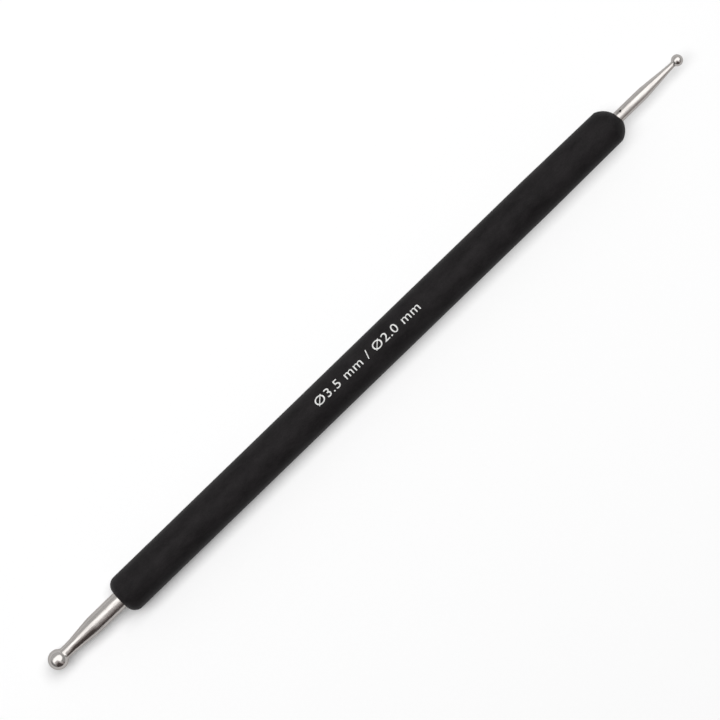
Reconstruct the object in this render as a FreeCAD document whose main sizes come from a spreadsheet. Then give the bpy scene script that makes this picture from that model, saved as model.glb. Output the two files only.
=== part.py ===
import FreeCAD, Part
import math
import os
import re
import Sketcher

# Double-ended embossing stylus, in millimetres.
#
# A rigid round rod is the core of the handle.  A soft matt skin is moulded over it and
# grips it in shallow ring grooves.  A steel pin is glued into a blind bore at each end of
# the rod: its buried tang is straight-knurled, its free part is turned down to a neck, and
# a polished steel ball is welded into a cup at the end of the neck.
#
# The whole tool lies along X with the small ball towards +X and +Z up.  The origin is on
# the surface that the handle lies on, under the middle of the overall length.

# Each row is a size, its value and what it measures.
SIZES = (
    ("grip_length", 115.5, "soft skin, from its flat end to the tip of its nose"),
    ("grip_diameter", 7.0, "soft skin, over the straight part of the handle"),
    ("end_land", 0.07, "flat ring round the large pin, inside the end's round rim"),
    ("grip_taper_length", 17.0, "stretch before the nose where the handle thins"),
    ("grip_thinning", 0.3, "how much thinner the skin is where the nose begins"),
    ("nose_length", 2.25, "domed nose round the small pin"),
    ("nose_lip", 0.05, "flat ring round the small pin, at the tip of the nose"),
    ("nose_crown_radius", 3.6, "bulge of the nose, seen from the side"),
    ("core_diameter", 5.4, "rigid rod under the skin"),
    ("core_chamfer", 0.5, "broken edge at both ends of the rod"),
    ("large_cover", 1.2, "skin over the rod's end at the large ball"),
    ("small_cover", 3.2, "skin over the rod's end at the small ball, nose included"),
    ("keying_depth", 0.25, "ring grooves of the rod that the skin fills"),
    ("keying_width", 2.0, "ring grooves, at the rod's surface"),
    ("keying_flank", 0.25, "slope of each side of a ring groove, along the rod"),
    ("keying_margin", 8.0, "from each end of the rod to the nearest ring groove"),
    ("keying_count", 5, "ring grooves, evenly spaced"),
    ("glue_gap", 0.03, "film of glue round each pin"),
    ("bore_end_gap", 0.6, "room for spare glue behind each pin"),
    ("drill_angle", 118.0, "point angle of the drill that made the bores"),
    ("knurl_depth", 0.15, "straight knurl of both tangs"),
    ("knurl_angle", 90.0, "V of one knurl flute"),
    ("large_reach", 16.1, "from the handle's flat end to the far side of the large ball"),
    ("large_pin_diameter", 3.2, "large pin, parallel part"),
    ("large_taper_length", 4.9, "large pin, cone down to the neck"),
    ("large_neck_reach", 3.15, "large pin, from the end of its cone to the middle of its ball"),
    ("large_neck_diameter", 2.15, "large pin, neck behind the ball"),
    ("large_ball_diameter", 3.5, "large ball"),
    ("large_seat_diameter", 2.5, "rim of the cup that holds the large ball"),
    ("large_weld_radius", 0.7, "hollow sweep of the weld at the large ball"),
    ("large_tang_length", 20.0, "large pin, part inside the handle"),
    ("large_tang_chamfer", 0.3, "large pin, lead at its hidden end"),
    ("large_knurl_length", 13.0, "large pin, knurled part of the tang"),
    ("large_knurl_teeth", 16, "large pin, flutes round the tang"),
    ("small_reach", 14.7, "from the tip of the nose to the far side of the small ball"),
    ("small_pin_diameter", 2.1, "small pin, parallel part"),
    ("small_taper_length", 6.4, "small pin, cone down to the neck"),
    ("small_neck_reach", 1.5, "small pin, from the end of its cone to the middle of its ball"),
    ("small_neck_diameter", 0.98, "small pin, neck behind the ball"),
    ("small_ball_diameter", 2.0, "small ball"),
    ("small_seat_diameter", 1.2, "rim of the cup that holds the small ball"),
    ("small_weld_radius", 0.4, "hollow sweep of the weld at the small ball"),
    ("small_tang_length", 17.0, "small pin, part inside the handle"),
    ("small_tang_chamfer", 0.25, "small pin, lead at its hidden end"),
    ("small_knurl_length", 10.0, "small pin, knurled part of the tang"),
    ("small_knurl_teeth", 12, "small pin, flutes round the tang"),
)


def fill_sheet(doc):
    """Write each size into the sheet: its name, its value and what it measures."""
    sheet = doc.addObject("Spreadsheet::Sheet", "Sizes")
    for row, (alias, value, meaning) in enumerate(SIZES, start=1):
        sheet.set(f"A{row}", alias)
        sheet.set(f"B{row}", str(value))
        sheet.setAlias(f"B{row}", alias)
        sheet.set(f"C{row}", meaning)
    doc.recompute()


def named(expression):
    """Put the sheet's name before each size in an expression: every size has a "_" in it."""
    return re.sub(r"[a-z]+_[a-z_]+", r"Sizes.\g<0>", expression)


def new_body(doc, label):
    body = doc.addObject("PartDesign::Body", label)
    body.Label = label
    return body


def origin_feature(body, role):
    return next(item for item in body.Origin.OriginFeatures if item.Role == role)


def new_sketch(body, name, plane, offset="0"):
    """A sketch on one of the body's own planes, moved along that plane's normal."""
    sketch = body.newObject("Sketcher::SketchObject", name)
    sketch.AttachmentSupport = [(origin_feature(body, plane), "")]
    sketch.MapMode = "FlatFace"
    sketch.setExpression("AttachmentOffset.Base.z", named(offset))
    return sketch


def arc_between(start, end, radius):
    """The shorter arc from start to end.  A positive radius turns it left, a negative right."""
    chord = end - start
    middle = (start + end) / 2
    left = FreeCAD.Vector(-chord.y, chord.x, 0).normalize()
    rise = math.sqrt(max(radius ** 2 - (chord.Length / 2) ** 2, 0.0))
    centre = middle + left * math.copysign(rise, radius)
    first, last = (start, end) if radius > 0 else (end, start)
    angles = [math.atan2(point.y - centre.y, point.x - centre.x) for point in (first, last)]
    circle = Part.Circle(centre, FreeCAD.Vector(0, 0, 1), abs(radius))
    return Part.ArcOfCircle(circle, *angles)


def draw_profile(sketch, corners):
    """Draw a closed outline whose corners and arcs are all bound to the sheet.

    A corner is (name, along, out, turn): its two coordinates, and the radius of the arc
    that leaves it, or None for a straight line.  A turn that starts with "-" bends right.
    """
    def value(expression):
        return float(sketch.evalExpression(named(expression)))

    points = [FreeCAD.Vector(value(along), value(out), 0) for _, along, out, _ in corners]
    ends = points[1:] + points[:1]
    entries = []
    for (name, along, out, turn), start, end in zip(corners, points, ends):
        if turn is None:
            edge = sketch.addGeometry(Part.LineSegment(start, end), False)
            entries.append((edge, 1, 2))
            continue
        edge = sketch.addGeometry(arc_between(start, end, value(turn)), False)
        entries.append((edge, 1, 2) if value(turn) > 0 else (edge, 2, 1))
        rule = sketch.addConstraint(Sketcher.Constraint("Radius", edge, abs(value(turn))))
        sketch.renameConstraint(rule, f"{name}_turn")
        sketch.setExpression(f"Constraints.{name}_turn", named(turn.lstrip("-")))
    for index, (edge, start_end, _) in enumerate(entries):
        before, _, before_end = entries[index - 1]
        sketch.addConstraint(Sketcher.Constraint("Coincident", before, before_end, edge, start_end))
    for (name, along, out, _), (edge, start_end, _) in zip(corners, entries):
        for kind, suffix, coordinate in (("DistanceX", "along", along), ("DistanceY", "out", out)):
            if coordinate == "0":
                axis = -2 if kind == "DistanceX" else -1
                sketch.addConstraint(Sketcher.Constraint("PointOnObject", edge, start_end, axis))
                continue
            rule = sketch.addConstraint(
                Sketcher.Constraint(kind, -1, 1, edge, start_end, value(coordinate)))
            sketch.renameConstraint(rule, f"{name}_{suffix}")
            sketch.setExpression(f"Constraints.{name}_{suffix}", named(coordinate))


def revolve(body, kind, name, sketch):
    """Turn a profile all the way round the body's X axis, to add or to cut."""
    feature = body.newObject(f"PartDesign::{kind}", name)
    feature.Profile = sketch
    feature.ReferenceAxis = (sketch, ["H_Axis"])
    feature.Angle = 360
    body.Tip = feature
    return feature


def must_differ(after, before, grows):
    """Stop if a feature that should add or cut material left the volume as it was."""
    change = after.Shape.Volume - before.Shape.Volume
    if (change > 0) != grows or change == 0:
        raise RuntimeError(f"{after.Name} changed the volume by {change:.4f}")


def place(body, along, turned=False):
    """Lay a body on the tool's axis, which is half the handle's diameter above the surface."""
    spin = FreeCAD.Rotation(FreeCAD.Vector(0, 0, 1), 180 if turned else 0)
    body.Placement = FreeCAD.Placement(FreeCAD.Vector(), spin)
    body.setExpression("Placement.Base.x", named(along))
    body.setExpression("Placement.Base.z", named("grip_diameter / 2"))


# The handle's flat end and the tip of its nose, from the middle of the overall length.
FLAT_END = "(large_reach - small_reach - grip_length) / 2"
NOSE_TIP = "(large_reach - small_reach + grip_length) / 2"


def keying_section(sketch, surface):
    """The section of one ring groove, or of the ring of skin that fills it."""
    first = "large_cover + keying_margin"
    wall = "core_diameter / 2"
    draw_profile(sketch, (
        ("near", first, surface, None),
        ("near_foot", f"{first} + keying_flank", f"{wall} - keying_depth", None),
        ("far_foot", f"{first} + keying_width - keying_flank", f"{wall} - keying_depth", None),
        ("far", f"{first} + keying_width", surface, None),
    ))


def repeat_keying(body, ring):
    """Space the ring grooves evenly between the two margins of the rod."""
    pattern = body.newObject("PartDesign::LinearPattern", "KeyingPattern")
    pattern.Originals = [ring]
    pattern.Direction = (origin_feature(body, "X_Axis"), [""])
    pattern.setExpression("Length", named(
        "grip_length - large_cover - small_cover - 2 * keying_margin - keying_width"))
    pattern.setExpression("Occurrences", named("keying_count"))
    body.Tip = pattern
    return pattern


def make_grip_sleeve(doc):
    """Soft skin: flat end with a round rim, straight, a faint taper, a domed nose."""
    body = new_body(doc, "grip_sleeve")
    core = "core_diameter / 2"
    tail = "grip_length - small_cover"
    head_bore = "large_pin_diameter / 2 + glue_gap"
    tail_bore = "small_pin_diameter / 2 + glue_gap"
    rim = "(grip_diameter / 2 - large_pin_diameter / 2 - glue_gap - end_land)"
    sketch = new_sketch(body, "SleeveProfile", "XY_Plane")
    draw_profile(sketch, (
        ("flat_hole", "0", head_bore, None),
        ("flat_rim", "0", f"{head_bore} + end_land", f"-{rim}"),
        ("rim", rim, "grip_diameter / 2", None),
        ("taper", "grip_length - nose_length - grip_taper_length", "grip_diameter / 2", None),
        ("nose", "grip_length - nose_length", "(grip_diameter - grip_thinning) / 2",
         "-nose_crown_radius"),
        ("tip", "grip_length", f"{tail_bore} + nose_lip", None),
        ("tip_hole", "grip_length", tail_bore, None),
        ("tail_hole", tail, tail_bore, None),
        ("tail_end", tail, f"{core} - core_chamfer", None),
        ("tail_edge", f"{tail} - core_chamfer", core, None),
        ("head_edge", "large_cover + core_chamfer", core, None),
        ("head_end", "large_cover", f"{core} - core_chamfer", None),
        ("head_hole", "large_cover", head_bore, None),
    ))
    shell = revolve(body, "Revolution", "Shell", sketch)
    doc.recompute()
    keying = new_sketch(body, "KeyingProfile", "XY_Plane")
    keying_section(keying, f"{core}")
    ring = revolve(body, "Revolution", "KeyingRing", keying)
    pattern = repeat_keying(body, ring)
    doc.recompute()
    must_differ(pattern, shell, grows=True)
    place(body, FLAT_END)
    return body


def drill_bore(doc, body, end):
    """Blind bore for one pin, with the cone that a drill leaves at its bottom."""
    mouth = "large_cover" if end == "large" else "grip_length - small_cover"
    inward = "+" if end == "large" else "-"
    radius = f"{end}_pin_diameter / 2 + glue_gap"
    depth = f"({end}_tang_length - {end}_cover + bore_end_gap)"
    point = f"({radius}) / tan(drill_angle / 2)"
    before = body.Tip
    sketch = new_sketch(body, f"{end.capitalize()}BoreProfile", "XY_Plane")
    draw_profile(sketch, (
        ("mouth_axis", mouth, "0", None),
        ("mouth_edge", mouth, radius, None),
        ("bottom_edge", f"{mouth} {inward} {depth}", radius, None),
        ("bottom_point", f"{mouth} {inward} ({depth} + {point})", "0", None),
    ))
    bore = revolve(body, "Groove", f"{end.capitalize()}Bore", sketch)
    doc.recompute()
    must_differ(bore, before, grows=False)


def make_handle_core(doc):
    """Rigid rod with broken edges, ring grooves for the skin and a bore at each end."""
    body = new_body(doc, "handle_core")
    wall = "core_diameter / 2"
    tail = "grip_length - small_cover"
    sketch = new_sketch(body, "RodProfile", "XY_Plane")
    draw_profile(sketch, (
        ("head_axis", "large_cover", "0", None),
        ("head_end", "large_cover", f"{wall} - core_chamfer", None),
        ("head_edge", "large_cover + core_chamfer", wall, None),
        ("tail_edge", f"{tail} - core_chamfer", wall, None),
        ("tail_end", tail, f"{wall} - core_chamfer", None),
        ("tail_axis", tail, "0", None),
    ))
    rod = revolve(body, "Revolution", "Rod", sketch)
    doc.recompute()
    keying = new_sketch(body, "KeyingProfile", "XY_Plane")
    keying_section(keying, wall)
    groove = revolve(body, "Groove", "KeyingGroove", keying)
    pattern = repeat_keying(body, groove)
    doc.recompute()
    must_differ(pattern, rod, grows=False)
    drill_bore(doc, body, "large")
    drill_bore(doc, body, "small")
    place(body, FLAT_END)
    return body


def cut_knurl(doc, body, end):
    """Straight knurl: one V flute, open at the tang's hidden end, repeated all round."""
    before = body.Tip
    radius = f"{end}_pin_diameter / 2"
    half_width = "2 * knurl_depth * tan(knurl_angle / 2)"
    sketch = new_sketch(body, "FluteSection", "YZ_Plane", f"- {end}_tang_length")
    draw_profile(sketch, (
        ("root", "0", f"{radius} - knurl_depth", None),
        ("right", half_width, f"{radius} + knurl_depth", None),
        ("left", f"- {half_width}", f"{radius} + knurl_depth", None),
    ))
    flute = body.newObject("PartDesign::Pocket", "Flute")
    flute.Profile = sketch
    flute.setExpression("Length", named(f"{end}_knurl_length"))
    flute.Reversed = True
    body.Tip = flute
    doc.recompute()
    must_differ(flute, before, grows=False)
    knurl = body.newObject("PartDesign::PolarPattern", "Knurl")
    knurl.Originals = [flute]
    knurl.Axis = (origin_feature(body, "X_Axis"), [""])
    knurl.Angle = 360
    knurl.setExpression("Occurrences", named(f"{end}_knurl_teeth"))
    body.Tip = knurl
    doc.recompute()
    must_differ(knurl, flute, grows=False)


def make_shank(doc, end):
    """Steel pin, from its knurled tang to the cup that its ball is welded into.

    It is drawn outwards along X from the end of the handle that it stands in.
    """
    body = new_body(doc, f"{end}_shank")
    radius = f"{end}_pin_diameter / 2"
    neck = f"{end}_neck_diameter / 2"
    ball = f"{end}_ball_diameter / 2"
    rim = f"{end}_seat_diameter / 2"
    centre = f"{end}_reach - {ball}"
    rim_along = f"{centre} - sqrt(({ball}) ^ 2 - ({rim}) ^ 2)"
    weld = f"{end}_weld_radius"
    rise = f"({rim} - {neck})"
    weld_run = f"sqrt(2 * {weld} * {rise} - {rise} ^ 2)"
    chamfer = f"{end}_tang_chamfer"
    cone_end = f"{centre} - {end}_neck_reach"
    sketch = new_sketch(body, "ShankProfile", "XY_Plane")
    draw_profile(sketch, (
        ("tang_axis", f"- {end}_tang_length", "0", None),
        ("tang_end", f"- {end}_tang_length", f"{radius} - {chamfer}", None),
        ("tang_edge", f"{chamfer} - {end}_tang_length", radius, None),
        ("shoulder", f"{cone_end} - {end}_taper_length", radius, None),
        ("neck_start", cone_end, neck, None),
        ("neck_end", f"{rim_along} - {weld_run}", neck, weld),
        ("cup_rim", rim_along, rim, ball),
        ("cup_pole", f"{centre} - {ball}", "0", None),
    ))
    revolve(body, "Revolution", "Turning", sketch)
    doc.recompute()
    cut_knurl(doc, body, end)
    place(body, FLAT_END if end == "large" else NOSE_TIP, turned=(end == "large"))
    return body


def make_ball(doc, end):
    """Polished steel ball, seated in the cup at the end of its pin."""
    ball = doc.addObject("Part::Sphere", f"{end}_ball")
    ball.Label = f"{end}_ball"
    ball.setExpression("Radius", named(f"{end}_ball_diameter / 2"))
    overhang = f"{end}_reach - {end}_ball_diameter / 2"
    along = f"{FLAT_END} - ({overhang})" if end == "large" else f"{NOSE_TIP} + {overhang}"
    place(ball, along)
    return ball


def check_document(doc, pieces):
    """Stop if any object failed, or if a piece is not one valid solid."""
    for item in doc.Objects:
        if {"Invalid", "Error"} & set(item.State):
            raise RuntimeError(f"{item.Name} failed: {item.State}")
    for piece in pieces:
        shape = piece.Shape
        if shape.isNull() or not shape.isValid() or len(shape.Solids) != 1:
            raise RuntimeError(f"{piece.Label} is not one valid solid")


def write_parts(pieces):
    os.makedirs("parts", exist_ok=True)
    for piece in pieces:
        piece.Shape.exportStep(f"parts/{piece.Label}.step")
        box = piece.Shape.BoundBox
        print(f"{piece.Label}: {piece.Shape.Volume:.3f} mm3, "
              f"x {box.XMin:.3f} to {box.XMax:.3f}, z {box.ZMin:.3f} to {box.ZMax:.3f}")


doc = FreeCAD.newDocument("embossing_stylus")
fill_sheet(doc)
pieces = [make_grip_sleeve(doc), make_handle_core(doc)]
for end in ("large", "small"):
    pieces.append(make_shank(doc, end))
    pieces.append(make_ball(doc, end))
doc.recompute()
check_document(doc, pieces)
write_parts(pieces)
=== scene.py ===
import math

import bmesh
import bpy
from mathutils import Euler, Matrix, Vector


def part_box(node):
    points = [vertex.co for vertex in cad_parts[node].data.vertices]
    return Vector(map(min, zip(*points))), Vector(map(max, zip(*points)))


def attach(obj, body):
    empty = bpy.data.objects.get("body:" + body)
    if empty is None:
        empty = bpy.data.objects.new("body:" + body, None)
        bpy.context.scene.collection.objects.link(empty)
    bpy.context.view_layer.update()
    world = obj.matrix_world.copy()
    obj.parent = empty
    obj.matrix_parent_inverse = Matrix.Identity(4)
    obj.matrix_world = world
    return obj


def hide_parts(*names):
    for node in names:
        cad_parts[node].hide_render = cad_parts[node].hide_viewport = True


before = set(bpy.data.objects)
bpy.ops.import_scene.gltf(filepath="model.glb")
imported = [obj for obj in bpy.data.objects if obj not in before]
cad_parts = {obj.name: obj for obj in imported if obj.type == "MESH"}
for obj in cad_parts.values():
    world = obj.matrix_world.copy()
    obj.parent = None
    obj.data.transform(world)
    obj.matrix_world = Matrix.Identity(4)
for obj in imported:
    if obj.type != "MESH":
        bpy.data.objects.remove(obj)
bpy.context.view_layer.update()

# ---------------------------------------------------------------------------------
# The rod inside the handle. A rigid rod of moulded plastic, 5.4 mm thick and
# 111.1 mm long, with five ring grooves that key the soft skin to it. It is bored at
# both ends for the pins. Its shape is the model's own; only its finish is made here.

MM = 0.001


def add(tree, kind, inputs=None, **settings):
    """Add a node to a tree, with its settings, and set or link its inputs."""
    node = tree.nodes.new(kind)
    for key, value in settings.items():
        setattr(node, key, value)
    for key, value in (inputs or {}).items():
        if isinstance(value, bpy.types.NodeSocket):
            tree.links.new(value, node.inputs[key])
        else:
            node.inputs[key].default_value = value
    return node


def between(tree, amount, low, high, from_low=0.0, from_high=1.0):
    """A number that follows another, from low to high."""
    node = add(tree, "ShaderNodeMapRange", {
        "Value": amount, "From Min": from_low, "From Max": from_high,
        "To Min": low, "To Max": high})
    return node.outputs["Result"]


def new_finish(name):
    """An empty material: its tree, its shader and its place in the object, in metres."""
    material = bpy.data.materials.new(name)
    material.use_nodes = True
    tree = material.node_tree
    shader = tree.nodes["Principled BSDF"]
    place = add(tree, "ShaderNodeTexCoord").outputs["Object"]
    return material, tree, shader, place


def stretched(tree, place, along, across):
    """The place, scaled along the handle and across it."""
    node = add(tree, "ShaderNodeMapping", {"Vector": place, "Scale": (along, across, across)})
    return node.outputs["Vector"]


def speckle(tree, vector, scale, detail=2.0, roughness=0.5):
    """Smooth noise from 0 to 1, with features about 1 / scale apart."""
    node = add(tree, "ShaderNodeTexNoise", {
        "Vector": vector, "Scale": scale, "Detail": detail, "Roughness": roughness})
    return node.outputs["Fac"]


def blended(tree, amount, first, second):
    """A colour between two, by an amount from 0 to 1."""
    node = add(tree, "ShaderNodeMix", {
        "Factor": amount, "A": (*first, 1.0), "B": (*second, 1.0)}, data_type="RGBA")
    return node.outputs["Result"]


def roughened(tree, shader, height, depth, strength):
    """Give a surface a relief of a real depth."""
    relief = add(tree, "ShaderNodeBump", {
        "Height": height, "Distance": depth, "Strength": strength})
    tree.links.new(relief.outputs["Normal"], shader.inputs["Normal"])


ROD_GREY, ROD_PALE = (0.27, 0.27, 0.26), (0.33, 0.33, 0.32)

# Flow marks of the moulding run along the rod, and its surface has fine pits.
rod_plastic, tree, shader, place = new_finish("rod_plastic")
flow = speckle(tree, stretched(tree, place, 60.0, 420.0), 1.0, 4.0, 0.6)
pits = speckle(tree, place, 4200.0, 3.0, 0.65)
tree.links.new(blended(tree, flow, ROD_GREY, ROD_PALE), shader.inputs["Base Color"])
tree.links.new(between(tree, pits, 0.42, 0.58), shader.inputs["Roughness"])
roughened(tree, shader, pits, 0.02 * MM, 0.4)

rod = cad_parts["handle_core"]
rod.material_slots[0].material = rod_plastic

# ---------------------------------------------------------------------------------
# The two pins. Each is turned from stainless rod and then polished lengthwise, which
# leaves faint streaks: parallel where it leaves the handle, then coned to a neck that
# flares into a cup for the ball. A knurled tang is glued into the rod's bore.

# The handle's axis and its two ends, in metres.
skin_low, skin_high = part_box("grip_sleeve")
AXIS_HEIGHT = (skin_low.z + skin_high.z) / 2
FLAT_END = skin_low.x
NOSE_TIP = skin_high.x

# Sizes of the pins, in millimetres. Taper is the length of the cone, neck_reach is from
# its end to the middle of the ball, and reach is from the handle to the ball's far side.
# Seat is the rim of the cup, tang the part inside the handle and knurl its fluted part.
LARGE_PIN = {
    "pin": 3.2, "taper": 4.9, "neck_reach": 3.15, "neck": 2.15, "ball": 3.5, "seat": 2.5,
    "weld": 0.7, "reach": 16.1, "tang": 20.0, "chamfer": 0.3, "knurl": 13.0}
SMALL_PIN = {
    "pin": 2.1, "taper": 6.4, "neck_reach": 1.5, "neck": 0.98, "ball": 2.0, "seat": 1.2,
    "weld": 0.4, "reach": 14.7, "tang": 17.0, "chamfer": 0.25, "knurl": 10.0}
LARGE_TEETH, SMALL_TEETH = 16, 12
TOOTH_DEPTH = 0.15
TOOTH_LEAD = 0.2        # from the tang's hidden end to where its flutes start
KNURL_RUNOUT = 0.15     # length over which the flutes run out
SOFT_CORNER = 0.6       # half the length of each soft corner, before and after the cone
CORNER_STEPS = 6

TURNS = 192             # faces round a pin
SEAM = 1e-7             # points closer than this, in metres, are one
CREASE = 32.0           # edges that bend more than this, in degrees, stay crisp

scene = bpy.context.scene


def reckon(tree, operation, *values):
    """The result of a maths node."""
    node = add(tree, "ShaderNodeMath", dict(enumerate(values)), operation=operation)
    return node.outputs[0]


def turning_tree():
    """Geometry Nodes that turn a half profile round the handle's axis.

    The profile is a row of points, X along the axis and Y out from it. Teeth are
    V grooves along the axis. Waver is how far a soft skin sinks here and there, and
    Askew is how far one side of a moulded end runs out as the other side falls back.
    """
    tree = bpy.data.node_groups.new("turning", "GeometryNodeTree")
    sockets = (
        ("Geometry", "Geometry"), ("Around", "Int"), ("Axis height", "Float"),
        ("Teeth", "Int"), ("Tooth depth", "Float"), ("Teeth from", "Float"),
        ("Teeth to", "Float"), ("Waver", "Float"), ("Waver length", "Float"),
        ("Askew", "Float"), ("Askew from", "Float"), ("Askew to", "Float"),
        ("Finish", "Material"),
    )
    for label, kind in sockets:
        tree.interface.new_socket(label, in_out="INPUT", socket_type=f"NodeSocket{kind}")
    tree.interface.new_socket("Geometry", in_out="OUTPUT", socket_type="NodeSocketGeometry")
    given = tree.nodes.new("NodeGroupInput").outputs
    profile = given["Geometry"]

    count = add(tree, "GeometryNodeAttributeDomainSize", {"Geometry": profile})
    columns = reckon(tree, "ADD", given["Around"], 1.0)
    grid = add(tree, "GeometryNodeMeshGrid", {
        "Vertices X": count.outputs["Point Count"], "Vertices Y": columns})
    index = tree.nodes.new("GeometryNodeInputIndex").outputs[0]
    row = reckon(tree, "FLOOR", reckon(tree, "DIVIDE", index, columns))
    column = reckon(tree, "SUBTRACT", index, reckon(tree, "MULTIPLY", row, columns))
    turn = reckon(tree, "DIVIDE", column, given["Around"])
    angle = reckon(tree, "MULTIPLY", turn, math.tau)

    where = tree.nodes.new("GeometryNodeInputPosition").outputs[0]
    point = add(tree, "GeometryNodeSampleIndex", {
        "Geometry": profile, "Value": where, "Index": row}, data_type="FLOAT_VECTOR")
    corner = add(tree, "ShaderNodeSeparateXYZ", {0: point.outputs["Value"]}).outputs
    along, out = corner["X"], corner["Y"]

    tooth = reckon(tree, "FRACT", reckon(tree, "MULTIPLY", turn, given["Teeth"]))
    off = reckon(tree, "ABSOLUTE", reckon(tree, "SUBTRACT", tooth, 0.5))
    pitch = reckon(tree, "DIVIDE", reckon(tree, "MULTIPLY", out, math.tau),
                   reckon(tree, "MAXIMUM", given["Teeth"], 1.0))
    cut = reckon(tree, "MAXIMUM", 0.0, reckon(
        tree, "SUBTRACT", given["Tooth depth"], reckon(tree, "MULTIPLY", off, pitch)))
    after = reckon(tree, "GREATER_THAN", along, given["Teeth from"])
    before = reckon(tree, "LESS_THAN", along, given["Teeth to"])
    cut = reckon(tree, "MULTIPLY", cut, reckon(tree, "MULTIPLY", after, before))

    sine, cosine = reckon(tree, "SINE", angle), reckon(tree, "COSINE", angle)
    spot = add(tree, "ShaderNodeCombineXYZ", {
        "X": along, "Y": reckon(tree, "MULTIPLY", out, cosine),
        "Z": reckon(tree, "MULTIPLY", out, sine)}).outputs[0]
    waves = add(tree, "ShaderNodeTexNoise", {
        "Vector": spot, "Scale": reckon(tree, "DIVIDE", 1.0, given["Waver length"]),
        "Detail": 1.0}).outputs["Fac"]
    sunk = reckon(tree, "ADD", cut, reckon(tree, "MULTIPLY", waves, given["Waver"]))
    radius = reckon(tree, "MAXIMUM", 0.0, reckon(tree, "SUBTRACT", out, sunk))

    lean = add(tree, "ShaderNodeMapRange", {
        "Value": along, "From Min": given["Askew from"], "From Max": given["Askew to"],
        "To Min": 0.0, "To Max": given["Askew"]}, interpolation_type="SMOOTHSTEP")
    slid = reckon(tree, "ADD", along, reckon(
        tree, "MULTIPLY", lean.outputs["Result"], cosine))
    spot = add(tree, "ShaderNodeCombineXYZ", {
        "X": slid, "Y": reckon(tree, "MULTIPLY", radius, cosine),
        "Z": reckon(tree, "ADD", given["Axis height"], reckon(
            tree, "MULTIPLY", radius, sine))}).outputs[0]
    shaped = add(tree, "GeometryNodeSetPosition", {
        "Geometry": grid.outputs["Mesh"], "Position": spot}).outputs[0]
    outward = add(tree, "GeometryNodeFlipFaces", {"Mesh": shaped}).outputs[0]
    closed = add(tree, "GeometryNodeMergeByDistance", {
        "Geometry": outward, "Distance": SEAM}).outputs[0]
    smooth = add(tree, "GeometryNodeSetShadeSmooth", {"Geometry": closed}).outputs[0]
    bend = tree.nodes.new("GeometryNodeInputMeshEdgeAngle").outputs["Unsigned Angle"]
    crisp = add(tree, "GeometryNodeSetShadeSmooth", {
        "Geometry": smooth, "Selection": reckon(
            tree, "GREATER_THAN", bend, math.radians(CREASE)),
        "Shade Smooth": False}, domain="EDGE").outputs[0]
    whole = add(tree, "GeometryNodeRealizeInstances", {"Geometry": crisp}).outputs[0]
    dressed = add(tree, "GeometryNodeSetMaterial", {
        "Geometry": whole, "Material": given["Finish"]}).outputs[0]
    result = tree.nodes.new("NodeGroupOutput")
    tree.links.new(dressed, result.inputs["Geometry"])
    return tree


def worked(name, source, tree, values):
    """An object at the origin, with the plain mesh that a tree makes of a source mesh."""
    piece = bpy.data.objects.new(name, source)
    scene.collection.objects.link(piece)
    maker = piece.modifiers.new("making", "NODES")
    maker.node_group = tree
    sockets = {item.name: item.identifier for item in tree.interface.items_tree
               if item.in_out == "INPUT"}
    for label, value in values.items():
        maker[sockets[label]] = value
    depsgraph = bpy.context.evaluated_depsgraph_get()
    mesh = bpy.data.meshes.new_from_object(
        piece.evaluated_get(depsgraph), preserve_all_data_layers=True, depsgraph=depsgraph)
    piece.modifiers.remove(maker)
    piece.data = mesh
    mesh.name = name
    return piece


def turned(name, corners, finish, **values):
    """A piece of revolution from the corners of its half profile, in millimetres."""
    line = bpy.data.meshes.new(f"{name}_profile")
    line.from_pydata([(along * MM, out * MM, 0.0) for along, out in corners],
                     [(i, i + 1) for i in range(len(corners) - 1)], [])
    inputs = {"Around": TURNS, "Axis height": AXIS_HEIGHT, "Waver length": 1.0,
              "Askew from": 0.0, "Askew to": 1.0, "Finish": finish}
    inputs.update({label.replace("_", " ").capitalize(): value
                   for label, value in values.items()})
    return worked(name, line, TURNING, inputs)


def arc(centre, radius, start, end, steps):
    """Points on an arc, at angles in degrees from the outward X direction."""
    points = []
    for step in range(steps + 1):
        angle = math.radians(start + (end - start) * step / steps)
        points.append((centre[0] + radius * math.cos(angle),
                       centre[1] + radius * math.sin(angle)))
    return points


def steps_between(first, last, count):
    """Points spaced evenly on a straight line, without its first point."""
    return [(first[0] + (last[0] - first[0]) * i / count,
             first[1] + (last[1] - first[1]) * i / count) for i in range(1, count + 1)]


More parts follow.
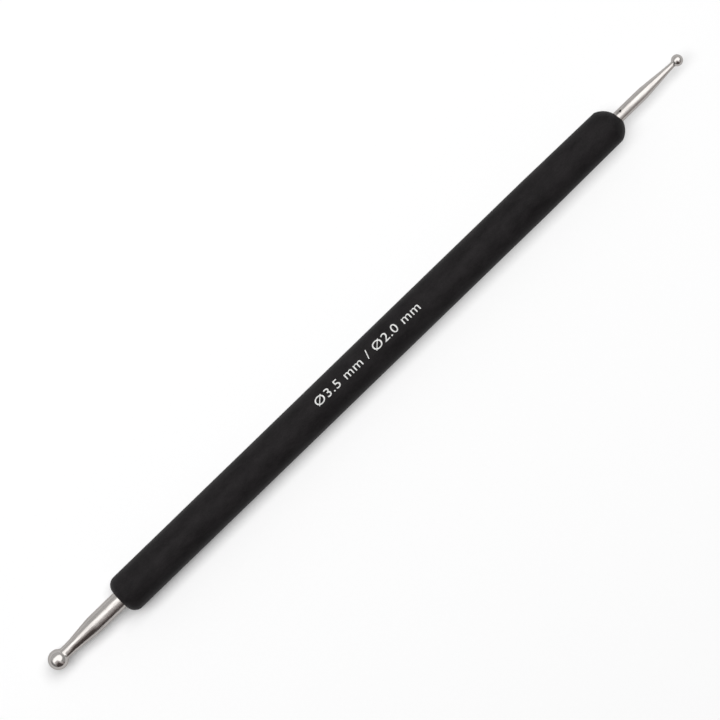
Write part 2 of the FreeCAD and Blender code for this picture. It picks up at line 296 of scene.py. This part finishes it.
def pin_profile(pin, taper, neck_reach, neck, ball, seat, weld, reach, tang, chamfer, knurl):
    """A pin's half profile, outwards from the end of the handle that it stands in."""
    radius, neck, ball, seat = pin / 2, neck / 2, ball / 2, seat / 2
    centre = reach - ball
    parallel = centre - neck_reach - taper
    rim = centre - math.sqrt(ball ** 2 - seat ** 2)
    run = math.sqrt(2 * weld * (seat - neck) - (seat - neck) ** 2)
    flare = math.degrees(math.asin(run / weld))
    cup = math.degrees(math.asin(seat / ball))
    knurl_end = chamfer - tang + knurl
    points = [(-tang, 0.0), (-tang, radius - chamfer), (chamfer - tang, radius)]
    points += steps_between(points[-1], (knurl_end, radius), 2)
    points += steps_between((knurl_end + KNURL_RUNOUT, radius),
                            (parallel - SOFT_CORNER, radius), 10)
    slope = (neck - radius) / taper
    shares = [step / CORNER_STEPS * 2 - 1 for step in range(1, CORNER_STEPS + 1)]
    points += [(parallel + SOFT_CORNER * share,
                radius + slope * SOFT_CORNER * (share + 1) ** 2 / 4) for share in shares]
    points += steps_between(points[-1], (parallel + taper - SOFT_CORNER,
                                         radius + slope * (taper - SOFT_CORNER)), 12)
    points += [(parallel + taper + SOFT_CORNER * share,
                neck - slope * SOFT_CORNER * (1 - share) ** 2 / 4) for share in shares]
    points += steps_between(points[-1], (rim - run, neck), 6)
    points += arc((rim - run, neck + weld), weld, -90.0, -90.0 + flare, 8)[1:]
    points += arc((centre, 0.0), ball, 180.0 - cup, 180.0, 10)[1:]
    return points


def turned_pin(name, sizes, teeth, end, outward):
    """A pin that stands out of an end of the handle, towards +X (1) or -X (-1).

    A profile is turned in order of X, so that of a pin towards -X is read backwards.
    """
    profile = [(end / MM + outward * along, out) for along, out in pin_profile(**sizes)]
    depths = (sizes["tang"] - sizes["chamfer"] - sizes["knurl"], sizes["tang"] - TOOTH_LEAD)
    teeth_from, teeth_to = sorted(end - outward * depth * MM for depth in depths)
    return turned(name, profile[::outward], pin_steel, teeth=teeth,
                  tooth_depth=TOOTH_DEPTH * MM, teeth_from=teeth_from, teeth_to=teeth_to)


def made_metal(shader):
    """Make a shader steel, a little duller where it is seen at a slant."""
    shader.inputs["Specular Tint"].default_value = (0.55, 0.53, 0.52, 1.0)
    shader.inputs["Metallic"].default_value = 1.0


TURNING = turning_tree()

PIN_DARK, PIN_PALE = (0.372, 0.354, 0.341), (0.490, 0.467, 0.449)
# The black of the fleck, which also paints the shade beside it.
FLECK_AND_SHADE_BLACK = (0.016, 0.014, 0.014, 1.0)
FLECK_AT = (NOSE_TIP + 0.91 * MM, 0.49 * MM, AXIS_HEIGHT + 0.93 * MM)
# The middle and the size of the patch of painted shade by the nose.
SHADE_AT = (NOSE_TIP + 0.58 * MM, 0.60 * MM, AXIS_HEIGHT + 0.86 * MM)
SHADE_LONG, SHADE_WIDE = 0.55 * MM, 0.34 * MM

# Fine rings from the turning, and waves, smears and streaks from the polishing.
pin_steel, tree, shader, place = new_finish("pin_steel_turned")
rings = speckle(tree, stretched(tree, place, 9000.0, 60.0), 1.0, 3.0, 0.7)
waves = speckle(tree, stretched(tree, place, 2200.0, 1500.0), 1.0, 2.0, 0.6)
smears = speckle(tree, stretched(tree, place, 260.0, 900.0), 1.0, 3.0, 0.6)
streaks = speckle(tree, stretched(tree, place, 520.0, 4600.0), 1.0, 3.0, 0.7)
tone = reckon(tree, "MULTIPLY_ADD", smears, 0.5, reckon(tree, "MULTIPLY", streaks, 0.5))
steel = blended(tree, between(tree, tone, 0.0, 1.0, 0.35, 0.65), PIN_DARK, PIN_PALE)

# A small black fleck on the small pin close to the nose, and between it and the nose a
# grey patch of painted shade that darkens the steel there.
raggedness = speckle(tree, place, 3800.0, 4.0, 0.7)
off = add(tree, "ShaderNodeVectorMath", {0: place, 1: FLECK_AT}, operation="DISTANCE")
ragged = reckon(tree, "MULTIPLY_ADD", raggedness, 0.8 * MM, off.outputs["Value"])
fleck = between(tree, ragged, 1.0, 0.0, 0.58 * MM, 0.66 * MM)
# The patch of painted shade, stretched along the pin.
aside = add(tree, "ShaderNodeVectorMath", {0: place, 1: SHADE_AT}, operation="SUBTRACT")
spread = add(tree, "ShaderNodeVectorMath", {0: stretched(
    tree, aside.outputs["Vector"], 1 / SHADE_LONG, 1 / SHADE_WIDE)}, operation="LENGTH")
fading = reckon(tree, "MULTIPLY_ADD", raggedness, 1.2, spread.outputs["Value"])
painted_shade = between(tree, fading, 0.45, 0.0, 1.1, 1.7)
flecked_and_shaded = add(tree, "ShaderNodeMix", {
    "Factor": reckon(tree, "MAXIMUM", fleck, painted_shade), "A": steel, "B": FLECK_AND_SHADE_BLACK},
    data_type="RGBA")
tree.links.new(flecked_and_shaded.outputs["Result"], shader.inputs["Base Color"])

shine = reckon(tree, "MULTIPLY_ADD", rings, 0.10, between(tree, tone, 0.21, 0.06, 0.35, 0.65))
tree.links.new(shine, shader.inputs["Roughness"])
relief = reckon(tree, "MULTIPLY_ADD", rings, 0.25, reckon(tree, "MULTIPLY_ADD", waves, 0.6, streaks))
roughened(tree, shader, relief, 0.012 * MM, 1.0)
made_metal(shader)

large_pin = turned_pin("large_pin", LARGE_PIN, LARGE_TEETH, FLAT_END, -1)
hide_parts("large_shank")
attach(large_pin, "root")

small_pin = turned_pin("small_pin", SMALL_PIN, SMALL_TEETH, NOSE_TIP, 1)
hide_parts("small_shank")
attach(small_pin, "root")

# ---------------------------------------------------------------------------------
# The two balls. Steel bearing balls, 3.5 mm and 2.0 mm, welded into the cups of the
# pins and polished bright all over, with only hairlines from use on paper and foil.

BALL_DARK, BALL_PALE = (0.415, 0.396, 0.382), (0.470, 0.448, 0.433)
BALL_TURNS, BALL_STEPS = 128, 64

ball_steel, tree, shader, place = new_finish("ball_steel_polished")
hairlines = speckle(tree, stretched(tree, place, 900.0, 3400.0), 1.0, 4.0, 0.75)
bloom = speckle(tree, place, 700.0, 2.0)
tree.links.new(blended(tree, bloom, BALL_DARK, BALL_PALE), shader.inputs["Base Color"])
tree.links.new(reckon(tree, "MULTIPLY_ADD", hairlines, 0.08, between(tree, bloom, 0.07, 0.12)),
               shader.inputs["Roughness"])
roughened(tree, shader, hairlines, 0.003 * MM, 0.4)
made_metal(shader)

for node, sizes in (("large_ball", LARGE_PIN), ("small_ball", SMALL_PIN)):
    low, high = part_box(node)
    centre = (low.x + high.x) / 2 / MM
    half_circle = arc((centre, 0.0), sizes["ball"] / 2, 180.0, 0.0, BALL_STEPS)
    ball = turned(f"{node}_polished", half_circle, ball_steel, around=BALL_TURNS)
    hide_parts(node)
    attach(ball, "root")

# ---------------------------------------------------------------------------------
# The grip. A sleeve of soft matt black rubber, 7 mm across and 115.5 mm long, moulded
# over the rod: one end flat with a round rim, the other a domed nose that the mould
# left a little askew. Rings inside fill the rod's grooves and hold the skin.

# Sizes in millimetres. The rim is the round of the flat end. The taper thins the handle
# before the nose, whose crown is the radius of its dome. The covers are the skin over the
# rod's two ends, and the keys are the rings of skin in the rod's grooves.
GRIP_LENGTH, GRIP_RADIUS, RIM = 115.5, 3.5, 1.8
TAPER_LENGTH, TAPER_RADIUS = 17.0, 3.35
NOSE_LENGTH, NOSE_RADIUS, CROWN = 2.25, 1.13, 3.6
COVER, TAIL_COVER, CORE_RADIUS, CHAMFER = 1.2, 3.2, 2.7, 0.5
KEY_MARGIN, KEY_WIDTH, KEY_FLANK, KEY_DEPTH, KEYS = 8.0, 2.0, 0.25, 0.25, 5
GLUE = 0.03
LARGE_BORE, SMALL_BORE = LARGE_PIN["pin"] / 2 + GLUE, SMALL_PIN["pin"] / 2 + GLUE
BEFORE_NOSE, RISE_THERE = 0.3, 0.003    # the last point of the taper, from the nose's start
GRIP_TURNS = 144

# The soft skin sinks in waves. The lean of the askew nose grows between two places, given
# as distances before its tip.
WAVE_DEPTH, WAVE_LENGTH = 0.03, 18.0
ASKEW, ASKEW_FROM, ASKEW_TO = -0.16, 5.0, 1.5

RUBBER_BLACK, RUBBER_CLOUDY = (0.0060, 0.0054, 0.0057), (0.0158, 0.0143, 0.0150)


def nose_arc(steps):
    """The dome of the nose: an arc of the crown's radius between its two ends."""
    start = Vector((GRIP_LENGTH - NOSE_LENGTH, TAPER_RADIUS))
    end = Vector((GRIP_LENGTH, NOSE_RADIUS))
    chord = end - start
    inward = Vector((chord.y, -chord.x)).normalized()
    centre = (start + end) / 2 + inward * math.sqrt(CROWN ** 2 - (chord.length / 2) ** 2)
    first = math.degrees(math.atan2(start.y - centre.y, start.x - centre.x))
    last = math.degrees(math.atan2(end.y - centre.y, end.x - centre.x))
    return arc(centre, CROWN, first, last, steps)


def skin_profile():
    """The skin's half profile, outside from end to end and back along the bore."""
    points = [(0.0, LARGE_BORE)]
    points += steps_between(points[-1], (0.0, GRIP_RADIUS - RIM), 3)
    points += arc((RIM, GRIP_RADIUS - RIM), RIM, 180.0, 90.0, 16)[1:]
    taper = GRIP_LENGTH - NOSE_LENGTH - TAPER_LENGTH
    points += steps_between(points[-1], (taper, GRIP_RADIUS), 70)
    points += steps_between(points[-1], (GRIP_LENGTH - NOSE_LENGTH - BEFORE_NOSE,
                                         TAPER_RADIUS + RISE_THERE), 14)
    points += nose_arc(18)
    points += [(GRIP_LENGTH, SMALL_BORE)]
    tail = GRIP_LENGTH - TAIL_COVER
    points += [(tail, SMALL_BORE), (tail, CORE_RADIUS - CHAMFER), (tail - CHAMFER, CORE_RADIUS)]
    last_key = tail - KEY_MARGIN - KEY_WIDTH
    first_key = COVER + KEY_MARGIN
    for key in reversed(range(KEYS)):
        near = first_key + (last_key - first_key) * key / (KEYS - 1)
        far = near + KEY_WIDTH
        floor = CORE_RADIUS - KEY_DEPTH
        points += [(far, CORE_RADIUS), (far - KEY_FLANK, floor),
                   (near + KEY_FLANK, floor), (near, CORE_RADIUS)]
    points += [(COVER + CHAMFER, CORE_RADIUS), (COVER, CORE_RADIUS - CHAMFER),
               (COVER, LARGE_BORE), points[0]]
    return points


# The rubber is a little cloudy from handling, with a fine grain from the mould.
skin_rubber, tree, shader, place = new_finish("skin_rubber_matt")
mottle = speckle(tree, stretched(tree, place, 260.0, 520.0), 1.0, 4.0, 0.7)
grain = speckle(tree, place, 5200.0, 3.0, 0.7)
cloudy = reckon(tree, "MULTIPLY_ADD", mottle, 0.6, reckon(tree, "MULTIPLY", grain, 0.4))
tree.links.new(blended(tree, between(tree, cloudy, 0.0, 1.0, 0.38, 0.62),
                       RUBBER_BLACK, RUBBER_CLOUDY), shader.inputs["Base Color"])
tree.links.new(reckon(tree, "MULTIPLY_ADD", grain, 0.20, between(tree, mottle, 0.36, 0.54)),
               shader.inputs["Roughness"])
shader.inputs["Specular IOR Level"].default_value = 0.08
roughened(tree, shader, grain, 0.04 * MM, 0.7)

grip = turned(
    "grip_skin", [(FLAT_END / MM + along, out) for along, out in skin_profile()], skin_rubber,
    around=GRIP_TURNS, waver=WAVE_DEPTH * MM, waver_length=WAVE_LENGTH * MM,
    askew=ASKEW * MM, askew_from=NOSE_TIP - ASKEW_FROM * MM, askew_to=NOSE_TIP - ASKEW_TO * MM)
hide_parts("grip_sleeve")
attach(grip, "root")

# ---------------------------------------------------------------------------------
# The size marks. The sizes of the two balls, pad-printed in white ink 1.55 mm high on
# the middle of the grip, a little to one side of its top, reading towards the small
# ball. The ink's face lies 0.012 mm outside the full radius of the grip.

MARK = "Ø3.5 mm / Ø2.0 mm"
MARK_FROM, MARK_LENGTH, MARK_HEIGHT = -10.9, 23.6, 1.55
MARK_TILT = 12.6                    # degrees round the handle, from its top
LETTER_SPACE = 1.08                 # a share of the typeface's usual spacing
CAPITAL = 0.70                      # a capital's height at the typeface's own size
STRIP, STRIPS = 0.09, 12            # width of a strip, and how many lie each side
INK_ABOVE, INK_BELOW = 0.012, 0.045
INK_WORN, INK_WHITE = (0.46, 0.46, 0.45), (0.80, 0.80, 0.79)


def flat_mark():
    """The words, cut into strips that can bend round the grip.

    X and Y are in metres. Z is 0 on the ink's underside and 1 on its face.
    """
    words = bpy.data.curves.new("marks", "FONT")
    words.body = MARK
    words.space_character = LETTER_SPACE
    words.resolution_u = 6
    holder = bpy.data.objects.new("marks", words)
    scene.collection.objects.link(holder)
    bpy.context.view_layer.update()
    depsgraph = bpy.context.evaluated_depsgraph_get()
    flat = bpy.data.meshes.new_from_object(holder.evaluated_get(depsgraph))
    bpy.data.objects.remove(holder)
    print_mesh = bmesh.new()
    print_mesh.from_mesh(flat)
    bmesh.ops.remove_doubles(print_mesh, verts=print_mesh.verts, dist=1e-5)
    xs = [v.co.x for v in print_mesh.verts]
    stretch = MARK_LENGTH / (max(xs) - min(xs))
    rise = MARK_HEIGHT / CAPITAL
    for vertex in print_mesh.verts:
        vertex.co.x = (vertex.co.x - min(xs)) * stretch + MARK_FROM
        vertex.co.y = (vertex.co.y - CAPITAL / 2) * rise
    for cut in range(-STRIPS, STRIPS + 1):
        geometry = print_mesh.verts[:] + print_mesh.edges[:] + print_mesh.faces[:]
        bmesh.ops.bisect_plane(print_mesh, geom=geometry, dist=1e-6,
                               plane_co=(0.0, cut * STRIP, 0.0), plane_no=(0.0, 1.0, 0.0))
    bmesh.ops.triangulate(print_mesh, faces=print_mesh.faces)
    solid = bmesh.ops.extrude_face_region(print_mesh, geom=print_mesh.faces[:])
    for element in solid["geom"]:
        if isinstance(element, bmesh.types.BMVert):
            element.co.z = 1.0
    bmesh.ops.recalc_face_normals(print_mesh, faces=print_mesh.faces)
    bmesh.ops.scale(print_mesh, vec=(MM, MM, 1.0), verts=print_mesh.verts)
    mesh = bpy.data.meshes.new("marks")
    print_mesh.to_mesh(mesh)
    print_mesh.free()
    return mesh


def wrapping_tree():
    """Geometry Nodes that wrap a flat print round the handle, and give it its depth."""
    tree = bpy.data.node_groups.new("wrapping", "GeometryNodeTree")
    sockets = (("Geometry", "Geometry"), ("Radius", "Float"), ("Axis height", "Float"),
               ("Tilt", "Float"), ("Below", "Float"), ("Above", "Float"),
               ("Finish", "Material"))
    for label, kind in sockets:
        tree.interface.new_socket(label, in_out="INPUT", socket_type=f"NodeSocket{kind}")
    tree.interface.new_socket("Geometry", in_out="OUTPUT", socket_type="NodeSocketGeometry")
    given = tree.nodes.new("NodeGroupInput").outputs
    where = tree.nodes.new("GeometryNodeInputPosition").outputs[0]
    flat = add(tree, "ShaderNodeSeparateXYZ", {0: where}).outputs
    angle = reckon(tree, "ADD", given["Tilt"], reckon(
        tree, "DIVIDE", flat["Y"], given["Radius"]))
    depth = add(tree, "ShaderNodeMapRange", {
        "Value": flat["Z"], "To Min": reckon(tree, "MULTIPLY", given["Below"], -1.0),
        "To Max": given["Above"]}).outputs["Result"]
    radius = reckon(tree, "ADD", given["Radius"], depth)
    spot = add(tree, "ShaderNodeCombineXYZ", {
        "X": flat["X"],
        "Y": reckon(tree, "MULTIPLY", radius, reckon(tree, "SINE", angle)),
        "Z": reckon(tree, "ADD", given["Axis height"], reckon(
            tree, "MULTIPLY", radius, reckon(tree, "COSINE", angle)))}).outputs[0]
    bent = add(tree, "GeometryNodeSetPosition", {
        "Geometry": given["Geometry"], "Position": spot}).outputs[0]
    whole = add(tree, "GeometryNodeRealizeInstances", {"Geometry": bent}).outputs[0]
    dressed = add(tree, "GeometryNodeSetMaterial", {
        "Geometry": whole, "Material": given["Finish"]}).outputs[0]
    result = tree.nodes.new("NodeGroupOutput")
    tree.links.new(dressed, result.inputs["Geometry"])
    return tree


mark_ink, tree, shader, place = new_finish("mark_ink_white")
thin = speckle(tree, place, 5200.0, 3.0, 0.7)
tree.links.new(blended(tree, between(tree, thin, 0.0, 1.0, 0.35, 0.6),
                       INK_WORN, INK_WHITE), shader.inputs["Base Color"])
tree.links.new(between(tree, thin, 0.50, 0.68), shader.inputs["Roughness"])
roughened(tree, shader, thin, 0.01 * MM, 0.3)

marks = worked("size_marks", flat_mark(), wrapping_tree(), {
    "Radius": GRIP_RADIUS * MM, "Axis height": AXIS_HEIGHT,
    "Tilt": math.radians(MARK_TILT), "Below": INK_BELOW * MM, "Above": INK_ABOVE * MM,
    "Finish": mark_ink})
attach(marks, "root")

# ---------------------------------------------------------------------------------
# The table: a white sheet that the stylus lies on. To the camera and in the steel it
# is lifted towards plain white, a little near the large ball, more near the small one
# and nearly all the way beyond the stylus. It keeps the shadow of the stylus, which the
# growing lift, a glow in the sheet, paints lighter towards the small ball.

SHEET_HALF = 3.0
PAPER, PAPER_PALE = (0.965, 0.965, 0.967), (0.985, 0.985, 0.987)
LIFT_AT_LARGE, LIFT_AT_SMALL, LIFT_BEYOND = 0.12, 0.50, 0.96
LIFT_REACH = 65.0 * MM              # each way from the middle, along the stylus
BEYOND_FROM, BEYOND_TO = 0.09, 0.30  # metres from the middle, in any direction


def eased(tree, amount, low, high, from_low, from_high):
    """A number that follows another smoothly, from low to high."""
    return add(tree, "ShaderNodeMapRange", {
        "Value": amount, "From Min": from_low, "From Max": from_high,
        "To Min": low, "To Max": high}, interpolation_type="SMOOTHSTEP").outputs["Result"]


sheet_white, tree, shader, place = new_finish("sheet_white")
tree.nodes.remove(shader)
fibres = speckle(tree, place, 1500.0, 3.0, 0.6)
paper = add(tree, "ShaderNodeBsdfDiffuse", {
    "Color": blended(tree, fibres, PAPER, PAPER_PALE)}).outputs[0]
lift = add(tree, "ShaderNodeEmission", {"Color": (1.0, 1.0, 1.0, 1.0), "Strength": 1.0})
ray = tree.nodes.new("ShaderNodeLightPath").outputs
seen = reckon(tree, "MAXIMUM", ray["Is Camera Ray"], reckon(
    tree, "MAXIMUM", ray["Is Glossy Ray"], ray["Is Transmission Ray"]))
along = add(tree, "ShaderNodeSeparateXYZ", {0: place}).outputs["X"]
# The glow grows towards the small ball, which paints the stylus's shadow lighter there.
near = between(tree, along, LIFT_AT_LARGE, LIFT_AT_SMALL, -LIFT_REACH, LIFT_REACH)
distance = add(tree, "ShaderNodeVectorMath", {0: place}, operation="LENGTH").outputs["Value"]
share = reckon(tree, "MAXIMUM", near, eased(
    tree, distance, 0.0, LIFT_BEYOND, BEYOND_FROM, BEYOND_TO))
mixed = add(tree, "ShaderNodeMixShader", {
    0: reckon(tree, "MULTIPLY", seen, share), 1: paper, 2: lift.outputs[0]}).outputs[0]
tree.links.new(mixed, tree.nodes["Material Output"].inputs["Surface"])

sheet = bpy.data.meshes.new("table_sheet")
corners = [(x * SHEET_HALF, y * SHEET_HALF, 0.0) for x, y in ((-1, -1), (1, -1), (1, 1), (-1, 1))]
sheet.from_pydata(corners, [], [(0, 1, 2, 3)])
sheet.materials.append(sheet_white)
table = bpy.data.objects.new("table_sheet", sheet)
scene.collection.objects.link(table)

# ---------------------------------------------------------------------------------
# The light: one wide softbox overhead, and a dim room that is brighter on its side. The
# camera sees the room as plain white. The steel reflects pale walls, a bright ceiling
# with a soft edge, and a dark warm patch towards the large ball.

SOFTBOX_LONG, SOFTBOX_DEEP = 1.1, 0.42
SOFTBOX_POWER = 6.85
SOFTBOX_AT, SOFTBOX_TILT = (0.0, 0.166, 0.75), -12.5
PATCH_WARMTH = (1.0, 0.82, 0.79)

softbox = bpy.data.lights.new("softbox", "AREA")
softbox.shape = "RECTANGLE"
softbox.size, softbox.size_y = SOFTBOX_LONG, SOFTBOX_DEEP
softbox.energy = SOFTBOX_POWER
lamp = bpy.data.objects.new("softbox", softbox)
lamp.location = SOFTBOX_AT
lamp.rotation_euler = Euler((math.radians(SOFTBOX_TILT), 0.0, 0.0))
lamp.visible_glossy = False
scene.collection.objects.link(lamp)

# Below, a number is a brightness, or a share of a direction from -1 to 1, with X towards
# the small ball, Y across the stylus towards the softbox, and Z up.
room = bpy.data.worlds.new("room")
room.use_nodes = True
tree = room.node_tree
toward = add(tree, "ShaderNodeSeparateXYZ", {
    0: add(tree, "ShaderNodeTexCoord").outputs["Generated"]}).outputs

# What lights the stylus and the table: dim, and brighter towards the softbox.
dim = eased(tree, toward["Y"], 0.06, 0.38, -0.35, 0.75)

# What the steel reflects: walls that darken past the large ball, and the ceiling.
walls = reckon(tree, "MULTIPLY", eased(tree, toward["Y"], 0.56, 0.84, -0.6, 0.6),
               eased(tree, toward["X"], 0.45, 1.0, -1.0, -0.65))
along = reckon(tree, "POWER", reckon(tree, "ABSOLUTE", reckon(
    tree, "DIVIDE", toward["X"], 0.92)), 3.0)
across = reckon(tree, "POWER", reckon(tree, "DIVIDE", reckon(
    tree, "SUBTRACT", toward["Y"], 0.07), 0.66), 2.0)
reach = reckon(tree, "SQRT", reckon(tree, "ADD", along, across))
above = reckon(tree, "GREATER_THAN", toward["Z"], 0.0)
ceiling = reckon(tree, "MULTIPLY", above, eased(tree, reach, 2.35, 0.0, 0.80, 1.05))
bright = reckon(tree, "MAXIMUM", walls, ceiling)

# The dark patch: how dark it is, and how much of each direction it covers.
beyond = between(tree, toward["X"], 0.40, 0.0, -0.18, -0.08)
deeper = reckon(tree, "SUBTRACT", toward["Y"], beyond)
lighter = reckon(tree, "MULTIPLY", eased(tree, toward["X"], 0.0, 0.42, 0.0, 0.09),
                 eased(tree, toward["X"], 1.0, 0.2, 0.26, 0.36))
dark = reckon(tree, "ADD", eased(tree, deeper, 0.10, 0.88, -1.0, -0.5), lighter)
slant = reckon(tree, "ADD", toward["X"], reckon(tree, "MULTIPLY_ADD", toward["Y"], 0.68, 0.15))
flag = reckon(tree, "MULTIPLY",
              reckon(tree, "MULTIPLY", eased(tree, slant, 1.0, 0.0, -0.05, 0.05),
                     eased(tree, toward["X"], 0.0, 1.0, -0.85, -0.72)),
              eased(tree, toward["Y"], 1.0, 0.0, -0.02, 0.12))

# Each kind of ray gets its own room.
shown = reckon(tree, "ADD", reckon(tree, "MULTIPLY", dark, flag), reckon(
    tree, "MULTIPLY", bright, reckon(tree, "SUBTRACT", 1.0, flag)))
ray = tree.nodes.new("ShaderNodeLightPath").outputs
mirror, seen = ray["Is Glossy Ray"], ray["Is Camera Ray"]
unseen = reckon(tree, "SUBTRACT", 1.0, reckon(tree, "MAXIMUM", mirror, seen))
strength = reckon(tree, "ADD", seen, reckon(
    tree, "MULTIPLY_ADD", shown, mirror, reckon(tree, "MULTIPLY", dim, unseen)))
tree.links.new(strength, tree.nodes["Background"].inputs["Strength"])
warmth = reckon(tree, "MULTIPLY", flag, reckon(
    tree, "MAXIMUM", 0.0, reckon(tree, "SUBTRACT", 1.0, dark)))
tree.links.new(blended(tree, reckon(tree, "MULTIPLY", mirror, warmth), (1.0, 1.0, 1.0),
                       PATCH_WARMTH), tree.nodes["Background"].inputs["Color"])
scene.world = room

# ---------------------------------------------------------------------------------
# The camera: straight above, a long lens, turned so that the stylus runs from the
# lower left of the picture to the upper right.

PICTURE_WIDTH = 0.12                # at the height of the stylus's axis
PICTURE_MIDDLE = (-0.555 * MM, 0.872 * MM)
PICTURE_TURN = math.radians(44.08)
SENSOR, FOCAL_LENGTH = 36.0, 200.0

lens = bpy.data.cameras.new("camera")
lens.sensor_width, lens.lens = SENSOR, FOCAL_LENGTH
lens.clip_start, lens.clip_end = 0.01, 20.0
camera = bpy.data.objects.new("camera", lens)
camera.location = (*PICTURE_MIDDLE, AXIS_HEIGHT + PICTURE_WIDTH * FOCAL_LENGTH / SENSOR)
camera.rotation_euler = Euler((0.0, 0.0, -PICTURE_TURN))
scene.collection.objects.link(camera)
scene.camera = camera

scene.view_settings.view_transform = "Standard"
